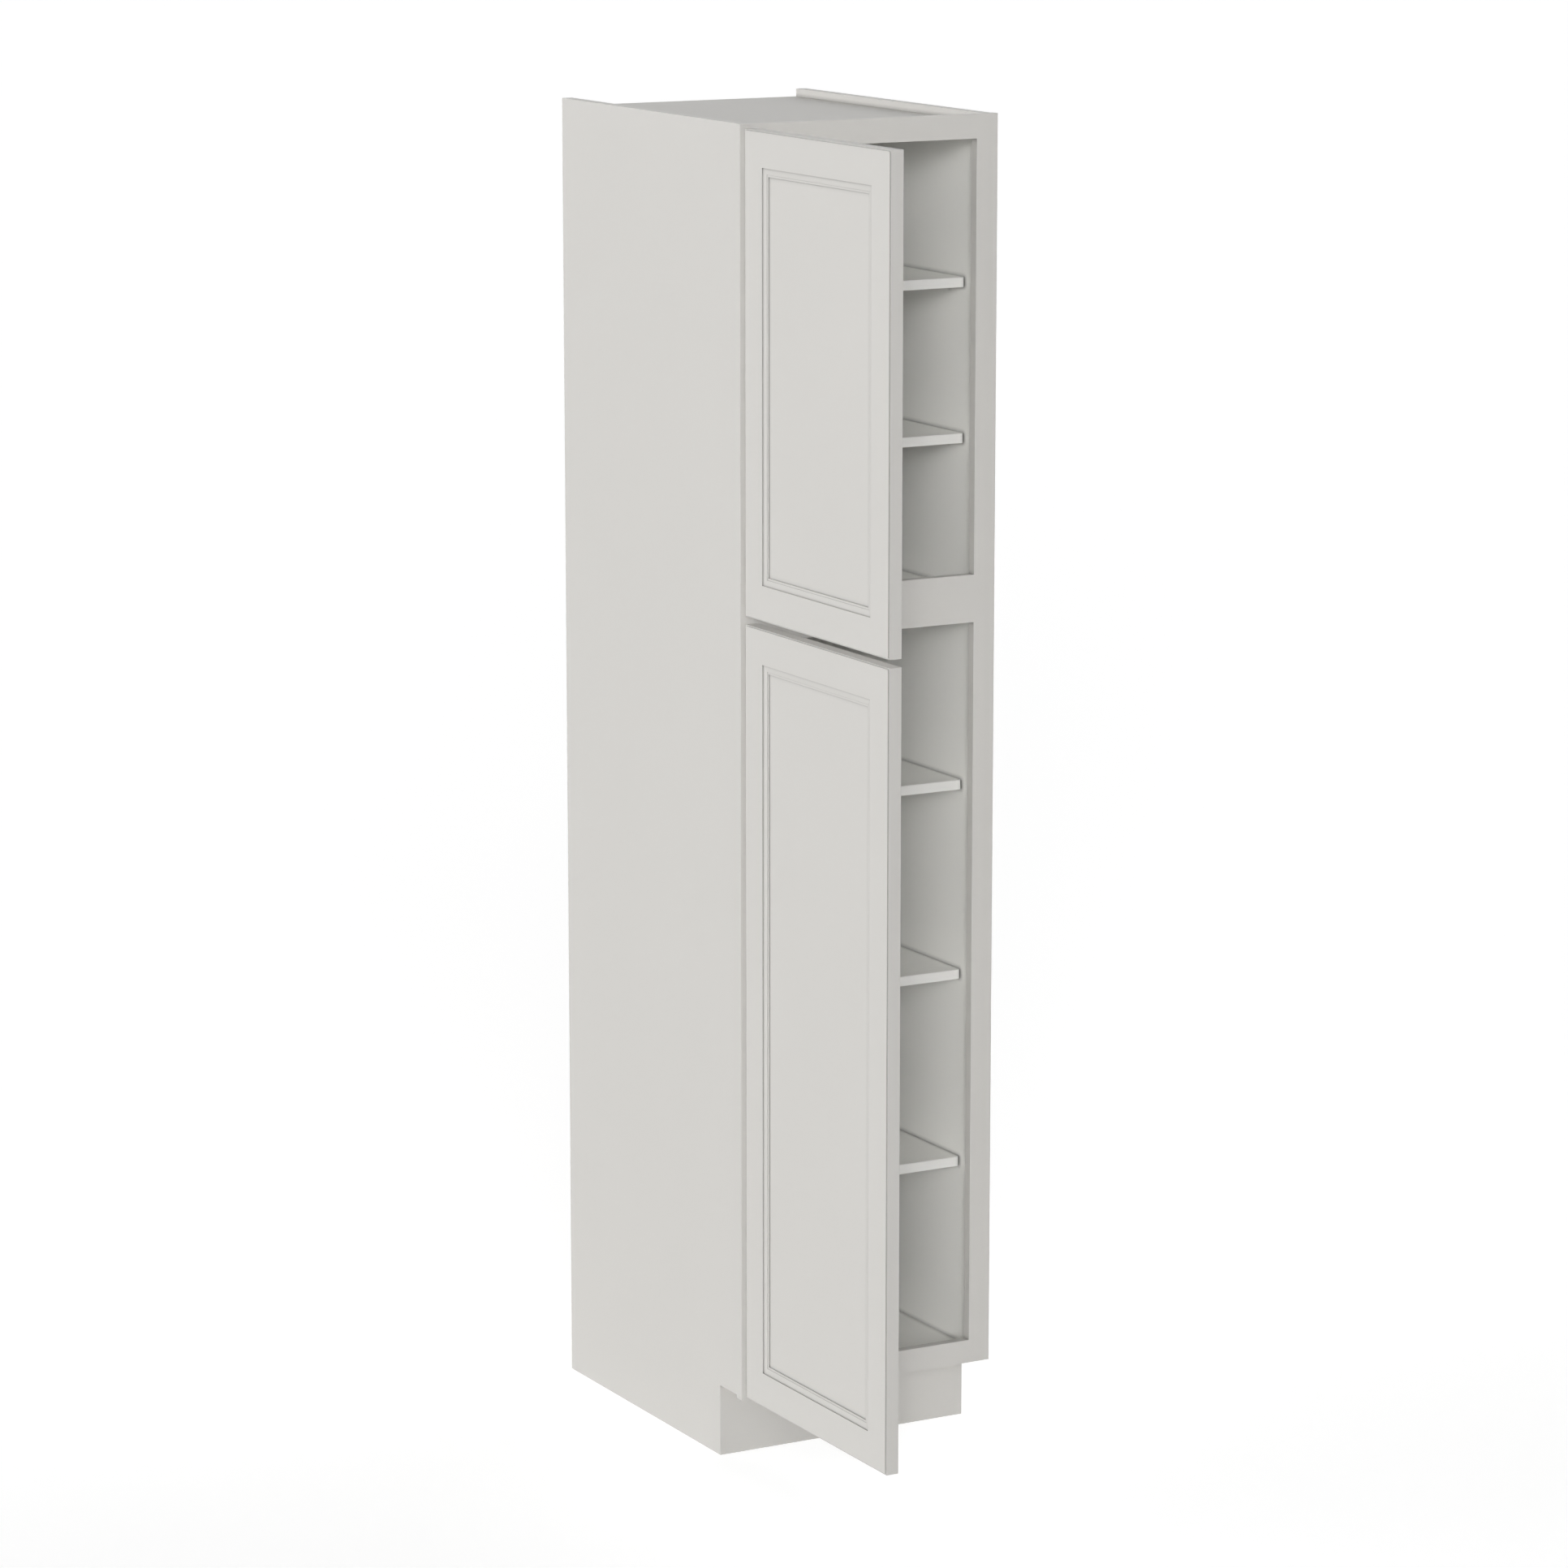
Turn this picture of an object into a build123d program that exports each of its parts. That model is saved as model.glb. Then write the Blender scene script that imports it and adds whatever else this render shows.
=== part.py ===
from build123d import *

import os
from math import cos, radians, sin

# A tall pantry cabinet: a plywood carcass behind a solid-wood face frame, with two cope-and-stick
# doors on cup hinges and five loose shelves. Sizes are in millimetres. X runs across the front with
# 0 at the middle, Y runs from the room to the wall with the wall at 0, and Z runs up from the floor.

IN = 25.4

# Overall size: the depth is from the face frame's front to the wall, without the doors
width = 18 * IN
depth = 24 * IN
height = 84 * IN

# Face frame
frame_thick = 0.625 * IN
stile_width = 1.5 * IN
top_rail_height = 1.5 * IN
mid_rail_height = 3 * IN
bottom_rail_height = 1.5 * IN
frame_foot = 4.5 * IN  # floor to the frame's lower edge
upper_opening = 27 * IN  # clear height between the middle and the top rail
tenon_length = 12
tenon_thick = 6
tenon_shoulder = 6  # rail left above and below its tenon
mortise_clear = 0.5  # glue space past a tenon's end
stile_ease = 0.8  # rounding of a stile's outer corner

# Carcass
side_thick = 18
side_inset = 4  # the stiles lap past the side panels by this much
panel_thick = 16  # top panel and decks
dado_depth = 6
top_recess = 0.5 * IN  # top panel below the side panels' upper edges
frame_lap = 2.5  # the frame hangs this far below the bottom deck
toe_depth = 3.125 * IN  # frame front to the toe board's front
toe_thick = 12
back_thick = 6
back_foot = 20  # floor to the back panel's lower edge
groove_depth = 6
hanging_thick = 18
hanging_height = 90

# Shelves and their pins
lower_shelves = 3
upper_shelves = 2
shelf_thick = 16
shelf_end_gap = 1.6
shelf_setback = 43  # carcass front to the shelf's front edge
shelf_back_gap = 2
shelf_ease = 0.8
shelf_corner = 2.5  # cut across the shelf's front corners
peg_radius = 2.5
peg_depth = 9  # length of a pin inside the side panel
peg_clear = 0.05
peg_inset = 50  # shelf edge to the pin's axis
tab_length = 10
tab_lip = 0.3  # a tab stands this far past its pin's shank all round

# Doors
door_thick = 22
side_overlay = 1.25 * IN  # a closed door laps the opening's sides by this much, which sets its hinge
top_reveal = 0.25 * IN
bottom_reveal = 0.25 * IN
door_gap = 0.5 * IN  # between the two doors
door_offset = 2.5  # a closed door's back stands off the frame by this
door_open = 90  # angle at which the doors stand
face_width = 55.2  # flat face of a door's stiles and rails
sticking_width = 13.2  # moulded inner edge beside that flat
quirk_depth = 1.8  # step down from the flat to the bead
bead_width = 9.6
bead_fall = 3.2  # face to the bead's low side
fillet_depth = 3.7  # face to the flat fillet beside the bead
lip_round = 0.6  # rounding of the moulding's last edge, above the panel
panel_setback = 5.6  # face to panel
panel_board = 6
panel_groove = 10
panel_clear = 1
step_width = 2.1  # square step round the door's front edge
step_depth = 1.4
step_round = 2.4  # rounding of the raised face's corners inside that step
bumper_radius = 4
bumper_height = 2.3
bumper_bevel = 1.2
bumper_inset = 14  # door edge to the bumper's centre

# Cup hinges
hinge_end = 100  # door end to the nearest hinge's centre
pin_edge = 7  # door's hinge edge to the pin's axis
pin_inset = 12.5  # door's back to the pin's axis
pin_radius = 1.25
pin_reach = 9  # half the pin's length
pin_seat = 0.02  # clearance of the pin in the cup's cheeks
pin_running = 0.05  # clearance of the pin in the arm's knuckle
cup_radius = 17.5
cup_edge = 2.5  # door's hinge edge to the cup's wall
cup_depth = 15.8
cup_wall = 1
cup_floor = 0.85
cup_clear = 0.1
cheek_reach = 4  # cheeks stand this far past the pin's axis
flange_thick = 1.2
flange_lip = 1.5  # the flange laps the door's bore by this much
wing_width = 14
wing_reach = 12.5  # the wings stand this far past the cup, along the door's edge
wing_offset = 7.5  # cup centre to the wings' centre line
wing_corner = 4
arm_width = 11
arm_thick = 2
arm_bend = 1.6
knuckle_radius = 2.15
slot_clear = 0.7
base_height = 34
base_margin = 1.5  # frame's faces to the edges of the arm's wide base
base_corner = 2.5

# Heights and places that follow from the sizes above
frame_front = -depth
carcass_front = frame_front + frame_thick
outer_x = width / 2 - side_inset
inner_x = outer_x - side_thick
opening_x = width / 2 - stile_width
back_rear = -hanging_thick
back_front = back_rear - back_thick
mid_rail_foot = height - top_rail_height - upper_opening - mid_rail_height
bottom_deck_foot = frame_foot + frame_lap
bottom_deck_top = bottom_deck_foot + panel_thick
mid_deck_foot = mid_rail_foot + (mid_rail_height - panel_thick) / 2
mid_deck_top = mid_deck_foot + panel_thick
top_panel_top = height - top_recess
top_panel_foot = top_panel_top - panel_thick
toe_front = frame_front + toe_depth
toe_back = toe_front + toe_thick
shelf_front = carcass_front + shelf_setback
shelf_rear = back_front - shelf_back_gap
peg_rows = (shelf_front + peg_inset, shelf_rear - peg_inset)
tab_height = 2 * (peg_radius + tab_lip)
door_width = 2 * (opening_x + side_overlay)
gap_middle = mid_rail_foot + mid_rail_height / 2
upper_door_z = (gap_middle + door_gap / 2, height - top_reveal)
lower_door_z = (frame_foot + bottom_reveal, gap_middle - door_gap / 2)


def spaced(deck_top, ceiling_top, count):
    """Upper faces of shelves that share a bay evenly."""
    step = (ceiling_top - deck_top) / (count + 1)
    return [deck_top + step * (n + 1) for n in range(count)]


shelf_tops = spaced(bottom_deck_top, mid_deck_top, lower_shelves)
shelf_tops += spaced(mid_deck_top, top_panel_top, upper_shelves)

os.makedirs("parts", exist_ok=True)


def save(piece, name):
    """Label a finished piece and write its file."""
    piece.label = name
    export_step(piece, f"parts/{name}.step")


def block(x, y, z, mode=Mode.ADD):
    """Rectangular block in the current part, each direction given as its low and high limit."""
    with BuildSketch(Plane.XY.offset(z[0])) as plan:
        with Locations(((x[0] + x[1]) / 2, (y[0] + y[1]) / 2)):
            Rectangle(x[1] - x[0], y[1] - y[0])
    extrude(plan.sketch, amount=z[1] - z[0], mode=mode)


def board(name, x, y, z):
    """Plain square-edged board."""
    with BuildPart() as piece:
        block(x, y, z)
    save(piece.part, name)


# Side panels: notched at the foot for the toe space, dadoed for the top and the decks, grooved for
# the back, and bored for the shelf pins.


def side_panel(name, side):
    inner = side * inner_x
    with BuildPart() as panel:
        with BuildSketch(Plane.YZ.offset(inner)):
            with BuildLine():
                Polyline(
                    (0, 0),
                    (0, height),
                    (carcass_front, height),
                    (carcass_front, bottom_deck_foot),
                    (toe_back, bottom_deck_foot),
                    (toe_back, 0),
                    close=True,
                )
            make_face()
        extrude(amount=side * side_thick)
        slot_x = sorted((inner, side * (inner_x + dado_depth)))
        for foot in (bottom_deck_foot, mid_deck_foot):
            dado_y = (carcass_front, back_rear)
            block(slot_x, dado_y, (foot, foot + panel_thick), mode=Mode.SUBTRACT)
        top_y = (carcass_front, 0)
        block(slot_x, top_y, (top_panel_foot, top_panel_top), mode=Mode.SUBTRACT)
        groove_x = sorted((inner, side * (inner_x + groove_depth)))
        groove_z = (back_foot, top_panel_foot)
        block(groove_x, (back_front, back_rear), groove_z, mode=Mode.SUBTRACT)
        with BuildSketch(Plane.YZ.offset(inner)):
            with Locations(*[(y, z) for y in peg_rows for z in peg_heights]):
                Circle(peg_radius + peg_clear)
        extrude(amount=side * (peg_depth + peg_clear), mode=Mode.SUBTRACT)
    save(panel.part, name)


peg_heights = [top - shelf_thick - tab_height / 2 for top in shelf_tops]
side_panel("left_side", -1)
side_panel("right_side", 1)

# Decks and top: panels housed in the dados. The top runs to the wall and is grooved for the back.

dado_x = (-inner_x - dado_depth, inner_x + dado_depth)
groove_x = (-inner_x - groove_depth, inner_x + groove_depth)
deck_y = (carcass_front, back_front)
board("bottom_deck", dado_x, deck_y, (bottom_deck_foot, bottom_deck_top))
board("middle_deck", dado_x, deck_y, (mid_deck_foot, mid_deck_top))

with BuildPart() as top_panel:
    block(dado_x, (carcass_front, 0), (top_panel_foot, top_panel_top))
    groove_z = (top_panel_foot, top_panel_foot + groove_depth)
    block(groove_x, (back_front, back_rear), groove_z, mode=Mode.SUBTRACT)
save(top_panel.part, "top_panel")

# Back panel in its grooves, and the three boards behind it: two to hang the cabinet by, one on the
# floor.

back_z = (back_foot, top_panel_foot + groove_depth)
board("back_panel", groove_x, (back_front, back_rear), back_z)

hanging_y = (back_rear, 0)
mid_hanging_foot = mid_deck_foot + (panel_thick - hanging_height) / 2
hanging_feet = {
    "foot_rail": 0,
    "middle_hanging_rail": mid_hanging_foot,
    "top_hanging_rail": top_panel_foot - hanging_height,
}
for rail_name, foot in hanging_feet.items():
    rail_z = (foot, foot + hanging_height)
    board(rail_name, (-inner_x, inner_x), hanging_y, rail_z)

board("toe_board", (-outer_x, outer_x), (toe_front, toe_back), (0, bottom_deck_foot))

# Face frame: two full-height stiles, mortised for the stub tenons of three rails.

frame_rails = {
    "frame_bottom_rail": (frame_foot, bottom_rail_height),
    "frame_middle_rail": (mid_rail_foot, mid_rail_height),
    "frame_top_rail": (height - top_rail_height, top_rail_height),
}
frame_y = (frame_front, carcass_front)
tenon_end = opening_x + tenon_length
tenon_y = (
    frame_front + (frame_thick - tenon_thick) / 2,
    frame_front + (frame_thick + tenon_thick) / 2,
)


def tenon_z(foot, rail_height):
    return (foot + tenon_shoulder, foot + rail_height - tenon_shoulder)


for rail_name, (foot, rail_height) in frame_rails.items():
    with BuildPart() as frame_rail:
        block((-opening_x, opening_x), frame_y, (foot, foot + rail_height))
        block((-tenon_end, tenon_end), tenon_y, tenon_z(foot, rail_height))
    save(frame_rail.part, rail_name)

for stile_name, side in (("frame_left_stile", -1), ("frame_right_stile", 1)):
    stile_x = sorted((side * opening_x, side * width / 2))
    with BuildPart() as frame_stile:
        block(stile_x, frame_y, (frame_foot, height))
        outer_edges = frame_stile.edges().filter_by(Axis.Z).sort_by(Axis.X)
        outer_edges = outer_edges[:2] if side < 0 else outer_edges[-2:]
        fillet(outer_edges.sort_by(Axis.Y)[0], radius=stile_ease)
        mortise_x = sorted((side * opening_x, side * (tenon_end + mortise_clear)))
        for foot, rail_height in frame_rails.values():
            block(mortise_x, tenon_y, tenon_z(foot, rail_height), mode=Mode.SUBTRACT)
    save(frame_stile.part, stile_name)

# Shelves: loose boards with an eased front edge and clipped front corners, each on four pins.

shelf_half = inner_x - shelf_end_gap
for number, top in enumerate(shelf_tops, start=1):
    with BuildPart() as shelf:
        block((-shelf_half, shelf_half), (shelf_front, shelf_rear), (top - shelf_thick, top))
        chamfer(shelf.edges().filter_by(Axis.Z).group_by(Axis.Y)[0], length=shelf_corner)
        front_edges = shelf.edges().filter_by(Axis.X).group_by(Axis.Y)[0]
        chamfer(front_edges, length=shelf_ease)
    save(shelf.part, f"shelf_{number}")

# Shelf pins: a round shank in the side panel, and a square tab under the shelf.

with BuildPart() as shelf_pins:
    for side in (-1, 1):
        with BuildSketch(Plane.YZ.offset(side * inner_x)) as shanks:
            with Locations(*[(y, z) for y in peg_rows for z in peg_heights]):
                Circle(peg_radius)
        extrude(shanks.sketch, amount=side * peg_depth)
        with BuildSketch(Plane.YZ.offset(side * inner_x)) as tabs:
            with Locations(*[(y, z) for y in peg_rows for z in peg_heights]):
                Rectangle(tab_height, tab_height)
        extrude(tabs.sketch, amount=-side * tab_length)
save(shelf_pins.part, "shelf_pins")

# Doors. A door is laid out from the front corner of its hinge edge: `across` runs to its free edge
# and `inward` from its front face to its back, both turned to the angle at which the door stands.

across = Vector(cos(radians(door_open)), -sin(radians(door_open)), 0)
inward = Vector(sin(radians(door_open)), cos(radians(door_open)), 0)
up = Vector(0, 0, 1)
pin_place = Vector(pin_edge - door_width / 2, frame_front - door_offset - pin_inset, 0)
door_corner = pin_place - across * pin_edge - inward * (door_thick - pin_inset)
sticking_end = face_width + sticking_width


def on_door(u, v, z):
    """Point at u from the hinge edge, v behind the front face and z above the floor."""
    return door_corner + across * u + inward * v + up * z


def moulded_edge():
    """Line down the inner edge of a stile or rail from face to back, measured from its outer edge:
    a quirk, a bead, a fillet, a rounded lip and the panel groove. It only ever falls away from the
    face, so that a rail's end can be coped to sit over it."""
    groove_start = sticking_end - panel_groove
    quirk = Line((face_width, 0), (face_width, quirk_depth))
    bead = TangentArc(quirk @ 1, (face_width + bead_width, bead_fall), tangent=(1, 0))
    fillet_flat = Polyline(
        bead @ 1,
        (face_width + bead_width, fillet_depth),
        (sticking_end - lip_round, fillet_depth),
    )
    lip = TangentArc(fillet_flat @ 1, (sticking_end, fillet_depth + lip_round), tangent=(1, 0))
    Polyline(
        lip @ 1,
        (sticking_end, panel_setback),
        (groove_start, panel_setback),
        (groove_start, panel_setback + panel_board),
        (sticking_end, panel_setback + panel_board),
        (sticking_end, door_thick),
    )


def door_member(start, edge_direction, length):
    """Bar with the moulded edge along it, its outer edge starting at `start`."""
    section = Plane(origin=start, x_dir=edge_direction, z_dir=edge_direction.cross(inward))
    with BuildSketch(section) as profile:
        with BuildLine():
            moulded_edge()
            Polyline((sticking_end, door_thick), (0, door_thick), (0, 0), (face_width, 0))
        make_face()
    extrude(profile.sketch, amount=length)


def cope(low, tall):
    """Trim a bar as long as the door is wide so that it fits between the door's two stiles."""
    with BuildSketch(Plane(origin=on_door(0, 0, low), x_dir=across, z_dir=up)) as plan:
        with BuildLine():
            moulded_edge()
            mirror(about=Plane.YZ.offset(door_width / 2))
            Line((face_width, 0), (door_width - face_width, 0))
            Line((sticking_end, door_thick), (door_width - sticking_end, door_thick))
        make_face()
    extrude(plan.sketch, amount=tall, mode=Mode.INTERSECT)


def door_plane(door_z, front):
    """Plane at that depth below the door's face, centred on the door and facing out."""
    middle = on_door(door_width / 2, front, sum(door_z) / 2)
    return Plane(origin=middle, x_dir=across, z_dir=-inward)


def step_edge(door_z):
    """Cut the square step round the door's front edge from the current part."""
    tall = door_z[1] - door_z[0]
    with BuildSketch(door_plane(door_z, 0)) as ring:
        Rectangle(door_width, tall)
        raised = (door_width - 2 * step_width, tall - 2 * step_width)
        RectangleRounded(*raised, radius=step_round, mode=Mode.SUBTRACT)
    extrude(ring.sketch, amount=-step_depth, mode=Mode.SUBTRACT)


cup_centre = cup_edge + cup_radius


def hinge_mouth(z, lift=0):
    """Plane of a cup's mouth, on the door's back or lifted off it, facing out of the cup."""
    return Plane(origin=on_door(cup_centre, door_thick + lift, z), x_dir=across, z_dir=inward)


def hinge_cups(name, heights):
    """Cups, each with a flange and two wings. Their cavities leave two cheeks that hold the pin."""
    cheek_end = pin_edge + cheek_reach - cup_centre
    wing_length = 2 * (cup_radius + wing_reach)
    with BuildPart() as cups:
        for z in heights:
            with BuildSketch(hinge_mouth(z)) as barrel:
                Circle(cup_radius - cup_clear)
            extrude(barrel.sketch, amount=-(cup_depth - cup_clear))
            with BuildSketch(hinge_mouth(z)) as flange:
                with Locations((wing_offset, 0)):
                    Rectangle(wing_width, wing_length)
                chamfer(flange.vertices(), length=wing_corner)
                Circle(cup_radius + flange_lip)
            extrude(flange.sketch, amount=flange_thick)
            with BuildSketch(hinge_mouth(z, flange_thick)) as cavity:
                Rectangle(2 * cup_radius, arm_width + 2 * slot_clear)
                with Locations((cheek_end + cup_radius, 0)):
                    Rectangle(2 * cup_radius, 2 * cup_radius)
                Circle(cup_radius - cup_wall, mode=Mode.INTERSECT)
            hollow = flange_thick + cup_depth - cup_clear - cup_floor
            extrude(cavity.sketch, amount=-hollow, mode=Mode.SUBTRACT)
            with BuildSketch(Plane.XY.offset(z - pin_reach)) as pin_bore:
                with Locations(pin_place):
                    Circle(pin_radius + pin_seat)
            extrude(pin_bore.sketch, amount=2 * pin_reach, mode=Mode.SUBTRACT)
    save(cups.part, name)


def hinge_pin(name, z):
    with BuildPart() as pin:
        with BuildSketch(Plane.XY.offset(z - pin_reach)):
            with Locations(pin_place):
                Circle(pin_radius)
        extrude(amount=2 * pin_reach)
    save(pin.part, name)


def hinge_arm(name, z):
    """Bent strap from its knuckle on the pin to a wide base on the stile's inner edge."""
    middle_x = -opening_x + arm_thick / 2
    base_y = frame_front + frame_thick / 2
    with BuildPart() as arm:
        with BuildSketch(Plane.XY.offset(z - arm_width / 2)) as strap:
            with BuildLine():
                FilletPolyline(
                    pin_place,
                    (middle_x, pin_place.Y),
                    (middle_x, base_y),
                    radius=arm_bend,
                )
            trace(line_width=arm_thick)
            with Locations(pin_place):
                Circle(knuckle_radius)
                Circle(pin_radius + pin_running, mode=Mode.SUBTRACT)
        extrude(strap.sketch, amount=arm_width)
        with BuildSketch(Plane.YZ.offset(-opening_x)) as base:
            with Locations((base_y, z)):
                Rectangle(frame_thick - 2 * base_margin, base_height)
            chamfer(base.vertices(), length=base_corner)
        extrude(base.sketch, amount=arm_thick)
    save(arm.part, name)


def hinge_heights(door_z, count):
    """Centre heights of a door's hinges, evenly spaced between its end ones."""
    low, high = door_z[0] + hinge_end, door_z[1] - hinge_end
    return [low + (high - low) * n / (count - 1) for n in range(count)]


def door(name, door_z, hinge_count):
    """Door of two stiles, two rails and a panel, with its hinges and bumpers."""
    low, high = door_z
    tall = high - low
    hinges = hinge_heights(door_z, hinge_count)
    with BuildPart() as hinge_stile:
        door_member(on_door(0, 0, low), across, tall)
        step_edge(door_z)
        with BuildSketch(hinge_mouth(hinges[0])) as bores:
            with Locations(*[(0, hinges[0] - z) for z in hinges]):
                Circle(cup_radius)
        extrude(bores.sketch, amount=-cup_depth, mode=Mode.SUBTRACT)
    save(hinge_stile.part, f"{name}_hinge_stile")

    with BuildPart() as free_stile:
        door_member(on_door(door_width, 0, high), -across, tall)
        step_edge(door_z)
    save(free_stile.part, f"{name}_free_stile")

    rail_starts = {
        "bottom_rail": (on_door(door_width, 0, low), up),
        "top_rail": (on_door(0, 0, high), -up),
    }
    for rail_name, (start, edge_direction) in rail_starts.items():
        with BuildPart() as door_rail:
            door_member(start, edge_direction, door_width)
            cope(low, tall)
            step_edge(door_z)
        save(door_rail.part, f"{name}_{rail_name}")

    with BuildPart() as panel:
        panel_inset = sticking_end - panel_groove + panel_clear
        with BuildSketch(door_plane(door_z, panel_setback)) as sheet:
            Rectangle(door_width - 2 * panel_inset, tall - 2 * panel_inset)
        extrude(sheet.sketch, amount=-panel_board)
    save(panel.part, f"{name}_panel")

    with BuildPart() as bumpers:
        for z in (low + bumper_inset, high - bumper_inset):
            seat = on_door(door_width - bumper_inset, door_thick, z)
            with BuildSketch(Plane(origin=seat, x_dir=across, z_dir=inward)) as pad:
                Circle(bumper_radius)
            extrude(pad.sketch, amount=bumper_height)
        rims = bumpers.edges().group_by(Axis(door_corner, inward))[-1]
        chamfer(rims, length=bumper_bevel)
    save(bumpers.part, f"{name}_bumpers")

    hinge_cups(f"{name}_hinge_cups", hinges)
    for number, z in enumerate(hinges, start=1):
        hinge_pin(f"{name}_hinge_pin_{number}", z)
        hinge_arm(f"{name}_hinge_arm_{number}", z)


door("upper_door", upper_door_z, hinge_count=2)
door("lower_door", lower_door_z, hinge_count=3)
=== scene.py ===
import math
import bpy
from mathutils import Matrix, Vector


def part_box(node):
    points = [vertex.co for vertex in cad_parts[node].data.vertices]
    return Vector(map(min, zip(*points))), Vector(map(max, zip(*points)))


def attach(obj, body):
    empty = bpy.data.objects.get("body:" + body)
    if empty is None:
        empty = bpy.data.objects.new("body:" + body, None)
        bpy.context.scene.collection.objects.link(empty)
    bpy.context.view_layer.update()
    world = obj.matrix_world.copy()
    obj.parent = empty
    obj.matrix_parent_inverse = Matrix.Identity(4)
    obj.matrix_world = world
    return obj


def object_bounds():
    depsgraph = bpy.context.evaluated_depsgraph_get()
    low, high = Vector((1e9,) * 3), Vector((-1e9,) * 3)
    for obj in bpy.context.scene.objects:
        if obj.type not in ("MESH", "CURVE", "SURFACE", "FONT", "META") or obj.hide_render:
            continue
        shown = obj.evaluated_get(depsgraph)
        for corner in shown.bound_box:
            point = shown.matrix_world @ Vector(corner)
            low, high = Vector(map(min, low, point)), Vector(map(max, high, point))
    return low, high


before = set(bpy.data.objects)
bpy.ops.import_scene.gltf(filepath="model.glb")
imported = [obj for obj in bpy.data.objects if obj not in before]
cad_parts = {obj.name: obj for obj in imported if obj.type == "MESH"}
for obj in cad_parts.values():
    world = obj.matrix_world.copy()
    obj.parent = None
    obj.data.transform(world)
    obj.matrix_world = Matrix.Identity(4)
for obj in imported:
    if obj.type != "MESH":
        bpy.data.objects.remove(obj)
cad_low, cad_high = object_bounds()

# Left and right side panels: furniture plywood, sprayed outside with satin off-white lacquer. Inside
# they take a lighter, whiter white, which paints in light reaching into the cabinet. Their rear and
# lower edges meet the wall and floor, so the plies are left bare there.

OFF_WHITE = (0.686, 0.672, 0.645, 1)
INSIDE_LIT_WHITE = (0.935, 0.93, 0.90, 1)  # a whiter white on the boards' inner faces, painted light inside the cabinet
INSIDE_LIT_MARGIN = 0.0005
BIRCH = (0.66, 0.53, 0.37, 1)
BIRCH_LATE = (0.50, 0.37, 0.23, 1)  # the darker wood of each year's end
PLY = 0.0015  # thickness of one ply
PLY_WAVER = 0.0002
CORNER_SHADE_COLOUR = (0.05, 0.048, 0.042, 1)  # painted shade: what a colour is darkened towards in its corners
CORNER_SHADE_SHARE = 0.75  # how much of that painted shade the tightest corner takes
PAINT_REACH = 0.007  # how far shade spreads out of a painted corner
FLOOR_GAP = 0.006  # no painted corner shade along a piece's line on the floor
PEEL_HEIGHT = 0.008  # millimetres
SIDE_GRAIN = 0.004  # height, in millimetres, of the grain that tells through the paint
SATIN = 0.38  # roughness of the smoothest paint
SAWN = 0.25  # what a bare edge adds to it
THICK_COAT = 0.97  # shade of the thickest paint against the thinnest
SHEEN = 0.2  # specular level of satin paint and laminate
ALONG = 0.04  # width of a grain mark over its length
GRAIN_STRETCH = {"X": (ALONG, 1, 1), "Y": (1, ALONG, 1), "Z": (1, 1, ALONG)}


def live(sockets, key):
    """The socket of that name among those that the node's settings leave on, or of that number."""
    shown = [socket for socket in sockets if socket.enabled]
    return shown[key] if isinstance(key, int) else next(s for s in shown if s.name == key)


class Value:
    """An output socket. Arithmetic on it adds the Math node that works the result out."""

    def __init__(self, nodes, socket):
        self.nodes, self.socket = nodes, socket

    def __add__(self, other):
        return self.nodes.math("ADD", self, other)

    def __sub__(self, other):
        return self.nodes.math("SUBTRACT", self, other)

    def __rsub__(self, other):
        return self.nodes.math("SUBTRACT", other, self)

    def __mul__(self, other):
        return self.nodes.math("MULTIPLY", self, other)

    def __gt__(self, other):
        return self.nodes.math("GREATER_THAN", self, other)

    def __lt__(self, other):
        return self.nodes.math("LESS_THAN", self, other)

    __radd__ = __add__
    __rmul__ = __mul__


class Nodes:
    """A node tree being built."""

    def __init__(self, tree):
        self.tree = tree

    def node(self, kind, settings={}, sockets={}, output=0):
        """Add a node, set it up, then feed its sockets, and return one of its outputs."""
        made = self.tree.nodes.new(kind)
        for name, setting in settings.items():
            setattr(made, name, setting)
        for key, value in sockets.items():
            self.feed(live(made.inputs, key), value)
        return Value(self, live(made.outputs, output)) if len(made.outputs) else made

    def feed(self, socket, value):
        if isinstance(value, Value):
            self.tree.links.new(value.socket, socket)
        else:
            socket.default_value = value

    def math(self, operation, *operands):
        return self.node("ShaderNodeMath", {"operation": operation}, dict(enumerate(operands)))

    def split(self, vector):
        """The X, Y and Z of a vector."""
        parts = self.node("ShaderNodeSeparateXYZ", sockets={0: vector}).socket.node
        return [Value(self, socket) for socket in parts.outputs]


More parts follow.
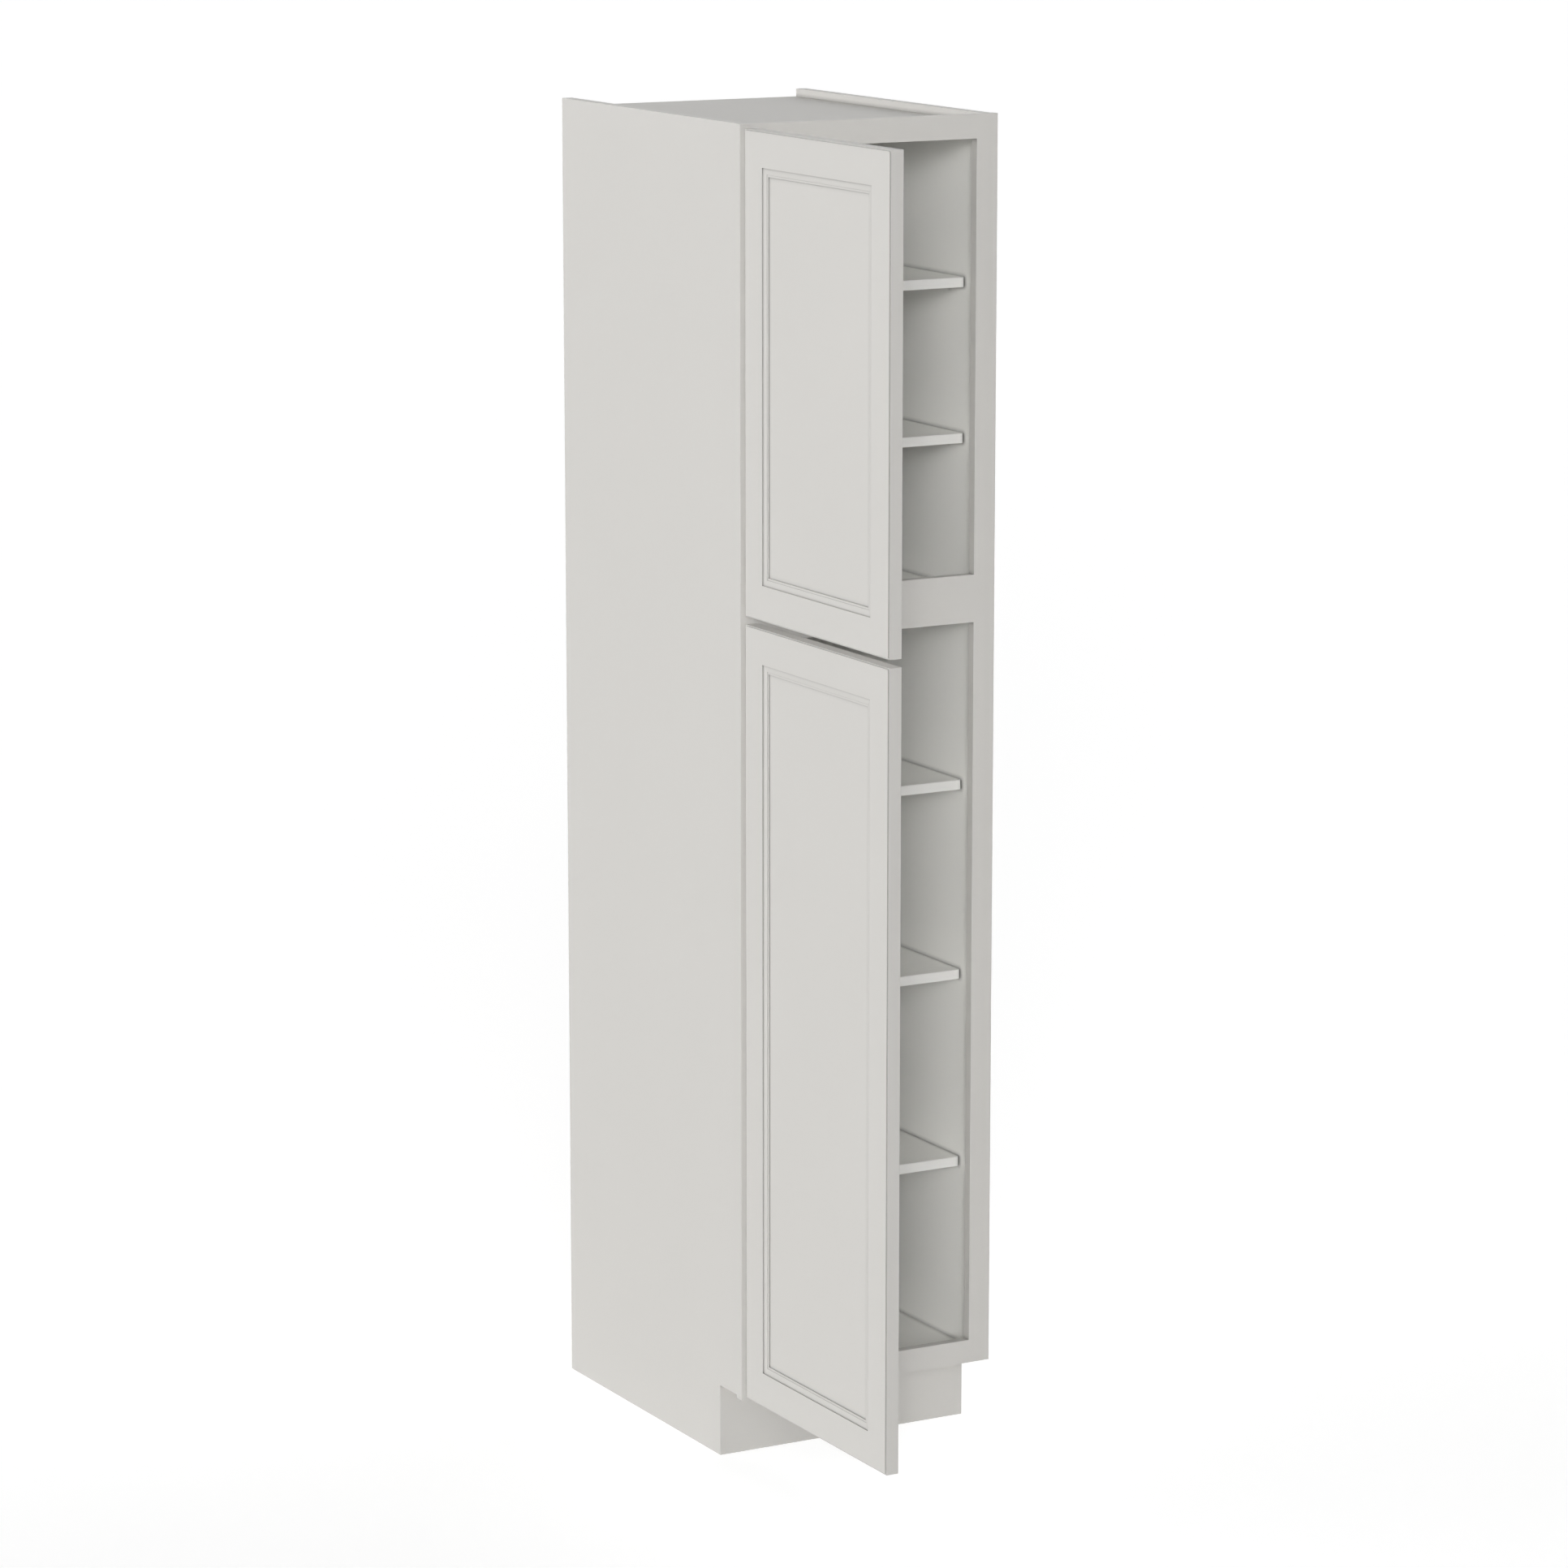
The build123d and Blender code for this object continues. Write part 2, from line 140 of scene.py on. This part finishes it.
class Finish(Nodes):
    """The material of one finish: a Principled shader and what feeds it."""

    def __init__(self, name):
        self.material = bpy.data.materials.new(name)
        self.material.use_nodes = True
        super().__init__(self.material.node_tree)
        self.shader = self.tree.nodes["Principled BSDF"]
        self.place = self.node("ShaderNodeTexCoord", output="Object")

    def set(self, sockets):
        for name, value in sockets.items():
            self.feed(self.shader.inputs[name], value)

    def noise(self, scale, detail, stretch=(1, 1, 1)):
        """Soft noise with that many spots a metre, drawn out along an axis by a small stretch."""
        place = self.node("ShaderNodeMapping", sockets={"Vector": self.place, "Scale": stretch})
        return self.node("ShaderNodeTexNoise", {}, {"Vector": place, "Scale": scale, "Detail": detail})

    def mix(self, share, first, second):
        """From the first colour to the second as the share goes from 0 to 1."""
        sockets = {"Factor": share, "A": first, "B": second}
        return self.node("ShaderNodeMix", {"data_type": "RGBA"}, sockets)

    def corners(self, colour, reach, share):
        """The colour with painted shade: darker by up to that share in corners and grooves tighter than the
        reach.
        """
        settings, sockets = {"samples": 6}, {"Distance": reach}
        # Ambient occlusion finds the corners, and the colour is darkened there as painted shade.
        free = self.node("ShaderNodeAmbientOcclusion", settings, sockets, output="AO")
        clear_of_floor = self.split(self.place)[2] > FLOOR_GAP
        return self.mix((1 - free) * clear_of_floor * share, colour, CORNER_SHADE_COLOUR)

    def relief(self, height):
        """Bumps of that height in millimetres."""
        bump = self.node("ShaderNodeBump", {}, {"Distance": 0.001, "Height": height})
        self.set({"Normal": bump})

    def facing(self, axis, way):
        """1 on faces of the resting piece that face along that axis, else 0."""
        normal = self.node("ShaderNodeTexCoord", output="Normal")
        return self.split(normal)["XYZ".index(axis)] * way > 0.5

    def plies(self, across):
        """1 on every other ply of a board, from the distance across it."""
        return self.math("PINGPONG", across, PLY) * (1 / PLY) > 0.5


PAINT_CORNER_SHADE = (PAINT_REACH, CORNER_SHADE_SHARE)


def lacquered(
    name, grain, grain_height, colour=OFF_WHITE, bare_faces=(), lit_faces=None, lit_colour=INSIDE_LIT_WHITE, corner=PAINT_CORNER_SHADE
):
    """Sprayed satin lacquer: a faint orange peel, slow drifts of shade where the coat is thicker,
    and the wood's grain just telling through. Faces left bare show the plies of the board, lit faces
    take a lighter plain white as painted light, and corners are darkened with painted shade."""
    coat = Finish(name)
    peel = coat.noise(scale=500, detail=1)
    fibres = coat.noise(scale=420, detail=3, stretch=GRAIN_STRETCH[grain])
    drift = coat.noise(scale=4, detail=2)
    thick = [THICK_COAT * part for part in colour[:3]] + [1]
    shade = coat.mix(0.7 * drift + 0.3 * fibres, colour, thick)
    gloss = SATIN + 0.1 * peel
    height = PEEL_HEIGHT * peel + grain_height * fibres
    if bare_faces:
        bare = coat.facing(*bare_faces[0])
        for face in bare_faces[1:]:
            bare = coat.math("MAXIMUM", bare, coat.facing(*face))
        across = coat.split(coat.place)[0] + PLY_WAVER * fibres
        wood = coat.mix(coat.plies(across), BIRCH, BIRCH_LATE)
        shade = coat.mix(bare, shade, wood)
        gloss = gloss + SAWN * bare
    # Painted light: the lit faces take a lighter white than the paint.
    if lit_faces:
        shade = coat.mix(lit_faces(coat), shade, lit_colour)
    # Painted shade: the colour is darkened in the piece's corners and grooves.
    shade = coat.corners(shade, *corner)
    coat.set({"Base Color": shade, "Roughness": gloss, "Specular IOR Level": SHEEN})
    coat.relief(height)
    return coat.material


def dress(material, *nodes):
    for node in nodes:
        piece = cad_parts[node]
        piece.data.materials.clear()
        piece.data.materials.append(material)


inner_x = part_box("right_side")[0].x
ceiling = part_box("top_panel")[0].z


def side_lit_inside(coat):
    """The inner faces of the side panels, up to the top panel, which take the lighter white as painted
    light.
    """
    x, _, z = coat.split(coat.place)
    return (coat.math("ABSOLUTE", x) < inner_x + INSIDE_LIT_MARGIN) * (z < ceiling)


side_bare = (("Y", 1), ("Z", -1))
side_coat = lacquered("side_lacquer", "Z", SIDE_GRAIN, bare_faces=side_bare, lit_faces=side_lit_inside)
dress(side_coat, "left_side", "right_side")

# Decks: plywood boards housed in grooves in the sides, all over in the sides' lighter inside white,
# painted light inside the cabinet. The shelves' loads stand on them, and they hold the carcass square.

INSIDE_GRAIN = 0.002  # millimetres
INSIDE_SHADE_REACH = 0.010  # how far painted shade spreads out of the inside faces' corners
INSIDE_CORNER_SHADE = (INSIDE_SHADE_REACH, CORNER_SHADE_SHARE)

deck_coat = lacquered("inside_lit_white", "X", INSIDE_GRAIN, INSIDE_LIT_WHITE, corner=INSIDE_CORNER_SHADE)
dress(deck_coat, "bottom_deck", "middle_deck")

# Top panel: housed like the decks, a little below the sides' upper edges. Its upper face is painted
# a deeper white than the sides, as painted shade, and its lower face the lighter inside white, as painted
# light.

# Painted shade: the upper face is darker than the sides' paint.
TOP_SHADED_WHITE = (0.645, 0.632, 0.603, 1)

top_coat = lacquered("top_lacquer", "X", SIDE_GRAIN, TOP_SHADED_WHITE, lit_faces=lambda c: c.facing("Z", -1))
dress(top_coat, "top_panel")

# Toe board: a strip of plywood across the foot, set back between the sides' notches and painted as
# they are.

toe_coat = lacquered("toe_board_lacquer", "X", SIDE_GRAIN)
dress(toe_coat, "toe_board")

# Back panel: a thin plywood sheet that slides into the sides' grooves, in the lighter inside white
# towards the shelves, as painted light with painted shade in its corners, and left as bare birch towards the
# wall.

INSIDE_LIT_SPECKLE = (0.905, 0.90, 0.87, 1)
SPECKLE_HEIGHT = 0.004  # millimetres
PORE_HEIGHT = 0.03


def birch(finish, stretch):
    """Rotary-cut birch: broad soft rings with short darker pores, drawn out along the grain."""
    rings = finish.noise(scale=160, detail=4, stretch=stretch)
    pores = finish.noise(scale=900, detail=2, stretch=stretch)
    return finish.mix(0.55 * rings + 0.25 * pores, BIRCH, BIRCH_LATE), pores


back = Finish("back_panel_faces")
wood, pores = birch(back, GRAIN_STRETCH["Z"])
speckle = back.noise(scale=700, detail=1)
rear = back.facing("Y", 1)
# Painted light: the front is the lighter inside white, with a random speckle.
inside_white = back.mix(0.4 * speckle, INSIDE_LIT_WHITE, INSIDE_LIT_SPECKLE)
# Painted shade in the front's corners.
front = back.corners(inside_white, INSIDE_SHADE_REACH, CORNER_SHADE_SHARE)
back.set({"Base Color": back.mix(rear, front, wood), "Roughness": 0.4 + 0.22 * rear + 0.1 * pores})
back.set({"Specular IOR Level": SHEEN})
back.relief(SPECKLE_HEIGHT * speckle + PORE_HEIGHT * (rear * pores))
dress(back.material, "back_panel")

# Hanging rails and foot rail: bare birch plywood behind the back panel, where only the wall sees
# them. The cabinet is screwed to the wall through the upper two.

raw = Finish("bare_birch")
wood, pores = birch(raw, GRAIN_STRETCH["X"])
dark_plies = raw.plies(raw.split(raw.place)[1])
edge = raw.math("MAXIMUM", raw.facing("Z", 1), raw.facing("Z", -1))
raw.set({"Base Color": raw.mix(edge * dark_plies, wood, BIRCH_LATE), "Roughness": 0.62 + 0.1 * pores})
raw.relief(PORE_HEIGHT * pores)
dress(raw.material, "middle_hanging_rail", "top_hanging_rail", "foot_rail")

# Face frame: solid maple stiles and rails, tenoned and glued, sanded flush and lacquered. The grain
# runs along each piece.

MAPLE_GRAIN = 0.007  # millimetres

stile_coat = lacquered("stile_lacquer", "Z", MAPLE_GRAIN)
rail_coat = lacquered("frame_rail_lacquer", "X", MAPLE_GRAIN)
dress(stile_coat, "frame_left_stile", "frame_right_stile")
dress(rail_coat, "frame_bottom_rail", "frame_middle_rail", "frame_top_rail")

# Shelves: loose plywood boards that lie on their pins, in the lighter inside white, with a slightly
# deeper white on the front edge; both are lighter than the paint, as painted light, with painted shade in
# their corners.

# Painted light: the front edge's white, lighter than the outside paint.
SHELF_FRONT_LIT_WHITE = (0.865, 0.86, 0.835, 1)


def shelf_front(coat):
    """The front edge and its cut corners."""
    return coat.facing("Y", -1)


shelf_coat = lacquered(
    "shelf_lit_white", "X", INSIDE_GRAIN, INSIDE_LIT_WHITE, lit_faces=shelf_front, lit_colour=SHELF_FRONT_LIT_WHITE, corner=INSIDE_CORNER_SHADE
)
shelf_nodes = [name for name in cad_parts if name.startswith("shelf_") and name != "shelf_pins"]
dress(shelf_coat, *shelf_nodes)

# Doors: cope-and-stick frames of solid maple round a flat panel that floats in their groove. Stiles
# stand and rails lie, so their grain does too.

PANEL_GRAIN = 0.002  # millimetres; the panel is a fine-grained sheet
MOULDING_CORNER_SHADE = (PAINT_REACH, 1.0)  # painted shade, at its deepest in a moulding

door_stile_coat = lacquered("door_stile_lacquer", "Z", MAPLE_GRAIN, corner=MOULDING_CORNER_SHADE)
door_rail_coat = lacquered("door_rail_lacquer", "Y", MAPLE_GRAIN, corner=MOULDING_CORNER_SHADE)
door_panel_coat = lacquered("door_panel_lacquer", "Z", PANEL_GRAIN, corner=MOULDING_CORNER_SHADE)
for door in ("upper_door", "lower_door"):
    dress(door_stile_coat, f"{door}_hinge_stile", f"{door}_free_stile")
    dress(door_rail_coat, f"{door}_top_rail", f"{door}_bottom_rail")
    dress(door_panel_coat, f"{door}_panel")

# Cup hinges and shelf pins: pressed and turned steel, nickel plated, with the fine drag marks of the
# press under the plating.

NICKEL = (0.74, 0.725, 0.69, 1)
NICKEL_SHADE = (0.64, 0.625, 0.59, 1)
DRAG_HEIGHT = 0.004  # millimetres

nickel = Finish("nickel_plate")
drag = nickel.noise(scale=900, detail=2, stretch=(1, 1, 0.1))
haze = nickel.noise(scale=60, detail=3)
plate = nickel.mix(haze, NICKEL, NICKEL_SHADE)
nickel.set({"Base Color": plate, "Roughness": 0.22 + 0.16 * drag, "Metallic": 1.0})
nickel.relief(DRAG_HEIGHT * drag)
steel_parts = ("_hinge_arm_", "_hinge_pin_", "_hinge_cups", "shelf_pins")
dress(nickel.material, *[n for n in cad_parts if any(part in n for part in steel_parts)])

# Hinge screws: nickel-plated pan heads with a cross recess, two through each hinge arm into the
# face frame and two through each cup's wings into the door. Each has stopped at its own turn.

HEAD_RADIUS = 0.0034
HEAD_HEIGHT = 0.0009
HEAD_CROWN = 0.0005  # fall from the head's middle to its rim
HEAD_SEAT = 0.0002  # the head's underside is sunk into the plate by this much
RECESS_LENGTH = 0.0036
RECESS_WIDTH = 0.0009
RECESS_DEPTH = 0.0007
ARM_PITCH = 0.020
WING_PITCH = 0.045
WING_EDGE = 0.0115  # cups' free side to the wings' centre line

tree = bpy.data.node_groups.new("screw_heads", "GeometryNodeTree")
sizes = {
    "Radius": HEAD_RADIUS,
    "Height": HEAD_HEIGHT,
    "Crown": HEAD_CROWN,
    "Seat": HEAD_SEAT,
    "Recess Length": RECESS_LENGTH,
    "Recess Width": RECESS_WIDTH,
    "Recess Depth": RECESS_DEPTH,
}
tree.interface.new_socket("Points", in_out="INPUT", socket_type="NodeSocketGeometry")
sockets_by_name = {}
for name in sizes:
    made = tree.interface.new_socket(name, in_out="INPUT", socket_type="NodeSocketFloat")
    sockets_by_name[name] = made.identifier
tree.interface.new_socket("Heads", in_out="OUTPUT", socket_type="NodeSocketGeometry")

heads = Nodes(tree)
given = heads.node("NodeGroupInput").socket.node
size = {name: Value(heads, live(given.outputs, name)) for name in sizes}
tall = size["Height"] + size["Seat"]
disc = {"Vertices": 20, "Fill Segments": 3, "Radius": size["Radius"], "Depth": tall}
head = heads.node("GeometryNodeMeshCylinder", {}, disc)
px, py, pz = heads.split(heads.node("GeometryNodeInputPosition"))
rim = (px * px + py * py) * heads.math("DIVIDE", size["Crown"], size["Radius"] * size["Radius"])
sag = heads.node("ShaderNodeCombineXYZ", {}, {"Z": (0 - rim) * (pz > 0)})
head = heads.node("GeometryNodeSetPosition", {}, {"Geometry": head, "Offset": sag})
lift = heads.node("ShaderNodeCombineXYZ", {}, {"Z": 0.5 * (size["Height"] - size["Seat"])})
head = heads.node("GeometryNodeTransform", {}, {"Geometry": head, "Translation": lift})
recess_top = heads.node("ShaderNodeCombineXYZ", {}, {"Z": size["Height"]})
head_cut = heads.node("GeometryNodeMeshBoolean", {"operation": "DIFFERENCE"}, {"Mesh 1": head})
spans = ((size["Recess Length"], size["Recess Width"]), (size["Recess Width"], size["Recess Length"]))
for long_side, short_side in spans:
    bar_size = {"X": long_side, "Y": short_side, "Z": 2 * size["Recess Depth"]}
    bar_size = heads.node("ShaderNodeCombineXYZ", {}, bar_size)
    bar = heads.node("GeometryNodeMeshCube", {}, {"Size": bar_size})
    bar = heads.node("GeometryNodeTransform", {}, {"Geometry": bar, "Translation": recess_top})
    heads.feed(live(head_cut.socket.node.inputs, "Mesh 2"), bar)
points = Value(heads, given.outputs["Points"])
placed = {"Points": points, "Instance": head_cut, "Rotation": (0, math.pi / 2, 0)}
placed = heads.node("GeometryNodeInstanceOnPoints", {}, placed)
turn = {"Min": (0, 0, 0), "Max": (0, 0, math.pi), "Seed": 7}
turn = heads.node("FunctionNodeRandomValue", {"data_type": "FLOAT_VECTOR"}, turn)
turned = {"Instances": placed, "Rotation": turn, "Local Space": True}
placed = heads.node("GeometryNodeRotateInstances", {}, turned)
placed = heads.node("GeometryNodeRealizeInstances", {}, {"Geometry": placed})
placed = heads.node("GeometryNodeSetMaterial", {}, {"Geometry": placed, "Material": nickel.material})
heads.node("NodeGroupOutput", {}, {"Heads": placed})


def drive_screws(name, body, places):
    """One mesh of screw heads, each standing on a place and facing right."""
    points = bpy.data.meshes.new(f"{name}_places")
    points.from_pydata(places, [], [])
    carrier = bpy.data.objects.new(f"{name}_carrier", points)
    bpy.context.scene.collection.objects.link(carrier)
    modifier = carrier.modifiers.new("heads", "NODES")
    modifier.node_group = tree
    for socket_name, identifier in sockets_by_name.items():
        modifier[identifier] = sizes[socket_name]
    graph = bpy.context.evaluated_depsgraph_get()
    mesh = bpy.data.meshes.new_from_object(carrier.evaluated_get(graph), depsgraph=graph)
    bpy.data.objects.remove(carrier)
    mesh.name = name
    screws = bpy.data.objects.new(name, mesh)
    bpy.context.scene.collection.objects.link(screws)
    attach(screws, body)


def centre(node):
    low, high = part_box(node)
    return (low + high) / 2


stile_middle = centre("frame_left_stile").y
arm_nodes = [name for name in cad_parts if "_hinge_arm_" in name]
arm_places = []
for name in arm_nodes:
    for side in (-0.5, 0.5):
        height = centre(name).z + side * ARM_PITCH
        arm_places.append((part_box(name)[1].x, stile_middle, height))
drive_screws("hinge_arm_screws", "carcass", arm_places)

for door in ("upper_door", "lower_door"):
    cups_low, cups_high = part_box(f"{door}_hinge_cups")
    wing_places = []
    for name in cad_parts:
        if name.startswith(f"{door}_hinge_pin_"):
            for side in (-0.5, 0.5):
                height = centre(name).z + side * WING_PITCH
                wing_places.append((cups_high.x, cups_low.y + WING_EDGE, height))
    drive_screws(f"{door}_hinge_screws", door, wing_places)

# Bumpers: soft clear-white rubber pads, stuck to the doors' backs by their free edges, where a
# closing door would knock on the frame.

RUBBER = (0.75, 0.75, 0.73, 1)
RUBBER_CLOUD = (0.66, 0.66, 0.63, 1)

rubber = Finish("bumper_rubber")
cloud = rubber.noise(scale=900, detail=2)
skin = rubber.mix(cloud, RUBBER, RUBBER_CLOUD)
rubber.set({"Base Color": skin, "Roughness": 0.3 + 0.15 * cloud})
dress(rubber.material, "upper_door_bumpers", "lower_door_bumpers")

# Floor: a plain white sheet under and behind the cabinet, which keeps its faint shadow. What the
# camera sees of it is lifted towards white, and what it throws back on the cabinet isn't.

FLOOR_WHITE = (0.85, 0.85, 0.85, 1)
FLOOR_HALF = 90
FLOOR_SHARE = 0.5  # share of plain light in what the camera sees of the floor, over its shadow
FLOOR_GLOW = 1.575  # brings the open floor just to white

floor_mesh = bpy.data.meshes.new("floor")
floor_corners = [(-1, -1), (1, -1), (1, 1), (-1, 1)]
floor_corners = [(FLOOR_HALF * x, FLOOR_HALF * y, 0) for x, y in floor_corners]
floor_mesh.from_pydata(floor_corners, [], [(0, 1, 2, 3)])
floor = bpy.data.objects.new("floor", floor_mesh)
bpy.context.scene.collection.objects.link(floor)

floor_white = bpy.data.materials.new("floor_white")
floor_white.use_nodes = True
floor_white.node_tree.nodes.clear()
paper = Nodes(floor_white.node_tree)
matt = paper.node("ShaderNodeBsdfDiffuse", {}, {"Color": FLOOR_WHITE})
glow = paper.node("ShaderNodeEmission", {}, {"Strength": FLOOR_GLOW})
lift = paper.node("ShaderNodeLightPath", output="Is Camera Ray") * FLOOR_SHARE
surface = paper.node("ShaderNodeMixShader", {}, {0: lift, 1: matt, 2: glow})
paper.node("ShaderNodeOutputMaterial", {}, {"Surface": surface})
floor_mesh.materials.append(floor_white)

# Light: big soft screens low on both sides of the cabinet and behind them, with smaller lamps at its
# front left that reach in past the doors. The camera and the polished steel see a plain white room.

SCREEN = 8  # how tightly a screen's light is gathered about its middle
PANEL_LAMP = 50
LAMP = 200

world = bpy.data.worlds.new("studio")
bpy.context.scene.world = world
world.use_nodes = True
world.node_tree.nodes.clear()
sky = Nodes(world.node_tree)
direction = sky.node("ShaderNodeTexCoord", output="Generated")


def softbox(azimuth, elevation, tightness, strength):
    """Soft light from that side of the room: 0 is the cabinet's front, 90 its right."""
    turn, rise = math.radians(azimuth), math.radians(elevation)
    flat = math.cos(rise)
    towards = (math.sin(turn) * flat, -math.cos(turn) * flat, math.sin(rise))
    settings, sockets = {"operation": "DOT_PRODUCT"}, {0: direction, 1: towards}
    facing = sky.node("ShaderNodeVectorMath", settings, sockets, output="Value")
    return strength * sky.math("POWER", sky.math("MAXIMUM", facing, 0.0), tightness)


level = softbox(-120, -4, SCREEN, 6.1) + softbox(120, -4, SCREEN, 5.9) + softbox(90, -4, SCREEN, 5.0)
level = level + softbox(-60, 10, PANEL_LAMP, 2.6)
level = level + softbox(-22, 24, LAMP, 9.5) + softbox(-30, 13, LAMP, 44.5)
dome = sky.node("ShaderNodeBackground", {}, {"Color": (1, 1, 1, 1), "Strength": level})
plain = sky.node("ShaderNodeBackground", {}, {"Color": (1, 1, 1, 1), "Strength": 1.0})
seen = sky.node("ShaderNodeLightPath", output="Is Camera Ray")
for ray in ("Is Glossy Ray", "Is Transmission Ray"):
    seen = sky.math("MAXIMUM", seen, sky.node("ShaderNodeLightPath", output=ray))
backdrop = sky.node("ShaderNodeMixShader", {}, {0: seen, 1: dome, 2: plain})
sky.node("ShaderNodeOutputWorld", {}, {"Surface": backdrop})

# Camera: a long lens at the cabinet's front left, well back and a little above its top.

YAW = math.radians(28.835)
TILT = math.radians(11.311)
DISTANCE = 8.721
LENS = 127
FAR = 400  # past the floor's far edge
AIM_FROM_MIDDLE = Vector((-0.1085, 0, 0.0208))

aim = (cad_low + cad_high) / 2 + AIM_FROM_MIDDLE
camera = bpy.data.objects.new("camera", bpy.data.cameras.new("camera"))
bpy.context.scene.collection.objects.link(camera)
bpy.context.scene.camera = camera
camera.data.lens = LENS
camera.data.clip_end = FAR
ahead = Vector((math.sin(YAW) * math.cos(TILT), math.cos(YAW) * math.cos(TILT), -math.sin(TILT)))
camera.location = aim - ahead * DISTANCE
camera.rotation_euler = ahead.to_track_quat("-Z", "Y").to_euler()

bpy.context.scene.view_settings.view_transform = "Standard"
